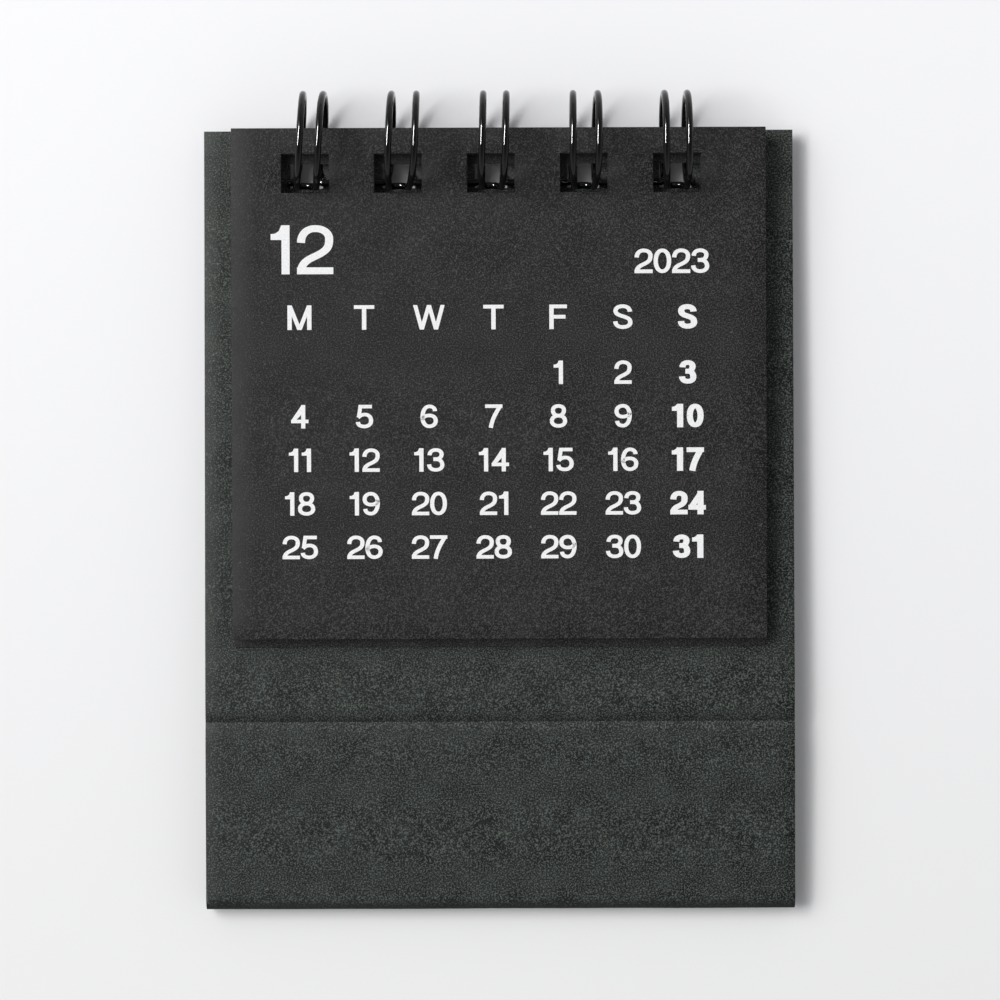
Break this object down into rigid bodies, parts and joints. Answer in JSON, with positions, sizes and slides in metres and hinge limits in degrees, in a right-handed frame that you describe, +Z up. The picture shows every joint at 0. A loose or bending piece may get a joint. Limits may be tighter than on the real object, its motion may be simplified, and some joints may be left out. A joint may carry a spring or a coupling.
{
  "type": "desk calendar",
  "caption": "Small desk calendar: month sheets bound by a black twin-loop wire to a folding card stand, folded flat and lying on its back.",
  "frame": {"origin": "bottom centre of the whole calendar, on the surface that the folded stand's back panel lies on", "axes": "+Z up out of the month sheets, +Y from the stand's bottom fold towards the wire rings, +X along the row of rings"},
  "size_m": [0.081, 0.1122, 0.0137],
  "materials": {
    "stand_card": "matte",
    "wire": "gloss",
    "sheets": "matte"
  },
  "bodies": {
    "stand": {"stand_card": "stand_card", "twin_loop_wire": "wire"},
    "sheets": {"month_sheets": "sheets"}
  },
  "joints": [
    {"name": "sheet_turn", "type": "hinge", "parent": "stand", "child": "sheets", "pos_m": [0, 0.0493, 0.00692], "axis": [-1, 0, 0], "range_deg": [0, 180]}
  ]
}
